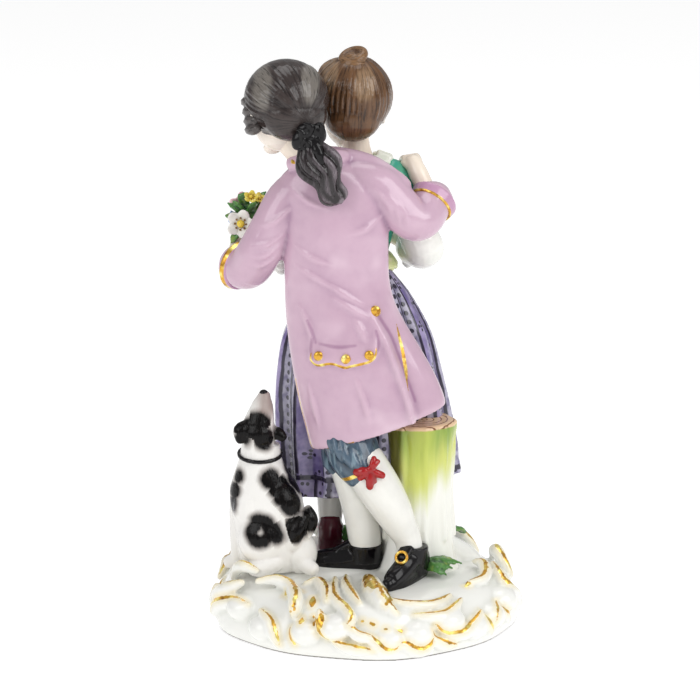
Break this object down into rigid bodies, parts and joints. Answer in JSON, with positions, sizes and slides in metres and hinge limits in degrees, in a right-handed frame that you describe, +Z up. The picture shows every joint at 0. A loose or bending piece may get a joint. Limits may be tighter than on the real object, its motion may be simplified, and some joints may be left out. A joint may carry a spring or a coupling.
{
  "type": "courting couple figurine",
  "caption": "Porcelain group of a gentleman embracing a lady beside a tree stump, with a seated dog, on an oval mound base with scrolls.",
  "frame": {"origin": "centre of the underside of the base, on the table", "axes": "+Z up; -Y towards the viewer of the picture, who sees the couple from behind; +X to that viewer's right; the two faces look towards +Y"},
  "size_m": [0.0788, 0.0742, 0.1456],
  "materials": {
    "glazed_porcelain": "glossy clear glaze over white porcelain, enamelled in colours and gilded"
  },
  "bodies": {
    "root": {"courting_couple": "glazed_porcelain"}
  },
  "joints": []
}
